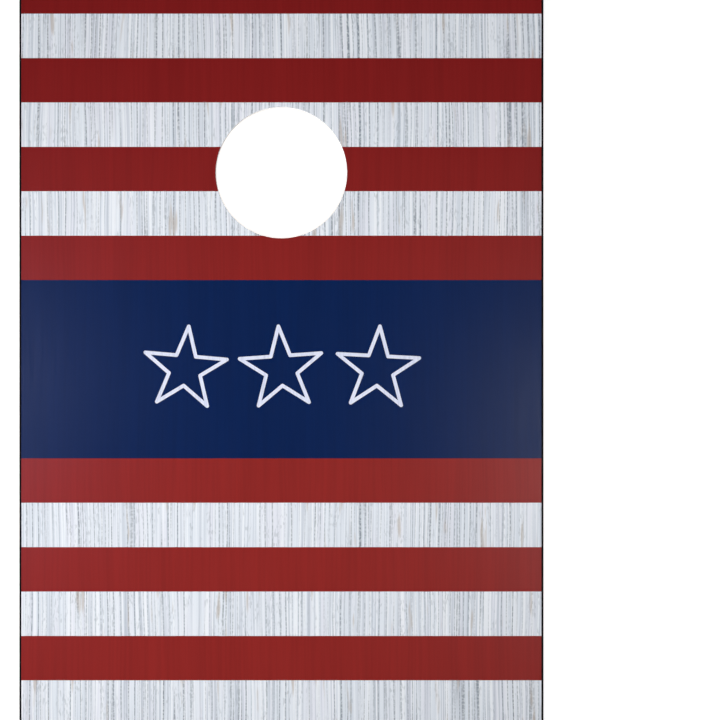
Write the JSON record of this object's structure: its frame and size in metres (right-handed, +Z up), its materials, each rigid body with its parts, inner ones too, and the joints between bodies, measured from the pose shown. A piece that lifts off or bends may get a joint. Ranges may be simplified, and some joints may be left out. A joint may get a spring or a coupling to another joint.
{
  "type": "cornhole board",
  "caption": "Folding bean-bag toss target: sloping printed deck with one round bag hole, on a wooden frame with rear legs that fold flat inside it.",
  "frame": {"origin": "on the ground, at the middle of the footprint of the whole board as it stands ready for play", "axes": "+Y up the slope from the low front end to the raised end with the bag hole, +X across the board to the right of a player who stands at the front, +Z up"},
  "size_m": [0.6096, 0.9314, 0.2622],
  "materials": {
    "printed_sheet": "satin print: red, whitewashed-wood and navy bands, faint grain along the board",
    "fibreboard": "raw medium-density fibreboard, its edges painted black",
    "black_paint": "satin black paint over planed pine, edges eased and a little rubbed",
    "bare_pine": "planed bare pine",
    "black_screws": "black phosphate, slightly shiny",
    "zinc_plate": "bright zinc plate",
    "nylon": "black moulded nylon"
  },
  "bodies": {
    "frame": {"deck_panel": "fibreboard", "printed_face": "printed_sheet", "front_rail": "black_paint", "rear_rail": "black_paint", "cross_brace": "bare_pine", "left_side_rail": "black_paint", "front_left_corner_block": "bare_pine", "left_front_rail_screw_upper": "black_screws", "left_front_rail_screw_lower": "black_screws", "left_brace_screw_upper": "black_screws", "left_brace_screw_lower": "black_screws", "left_rear_rail_screw_upper": "black_screws", "left_rear_rail_screw_lower": "black_screws", "left_pivot_bolt": "zinc_plate", "left_leg_spacer": "nylon", "left_pivot_washer": "zinc_plate", "right_side_rail": "black_paint", "front_right_corner_block": "bare_pine", "right_front_rail_screw_upper": "black_screws", "right_front_rail_screw_lower": "black_screws", "right_brace_screw_upper": "black_screws", "right_brace_screw_lower": "black_screws", "right_rear_rail_screw_upper": "black_screws", "right_rear_rail_screw_lower": "black_screws", "right_pivot_bolt": "zinc_plate", "right_leg_spacer": "nylon", "right_pivot_washer": "zinc_plate"},
    "legs": {"leg_spreader": "black_paint", "left_leg": "black_paint", "left_spreader_screw_upper": "black_screws", "left_spreader_screw_lower": "black_screws", "right_leg": "black_paint", "right_spreader_screw_upper": "black_screws", "right_spreader_screw_lower": "black_screws"},
    "left_nut": {"left_wing_nut": "zinc_plate"},
    "right_nut": {"right_wing_nut": "zinc_plate"}
  },
  "joints": [
    {"name": "leg_fold", "type": "hinge", "parent": "frame", "child": "legs", "pos_m": [0, 0.39258, 0.21165], "axis": [1, 0, 0], "range_deg": [-90, 0]},
    {"name": "left_wing_nut_turn", "type": "hinge", "parent": "frame", "child": "left_nut", "pos_m": [-0.26, 0.39258, 0.21165], "axis": [1, 0, 0], "continuous": true},
    {"name": "right_wing_nut_turn", "type": "hinge", "parent": "frame", "child": "right_nut", "pos_m": [0.26, 0.39258, 0.21165], "axis": [1, 0, 0], "continuous": true}
  ]
}
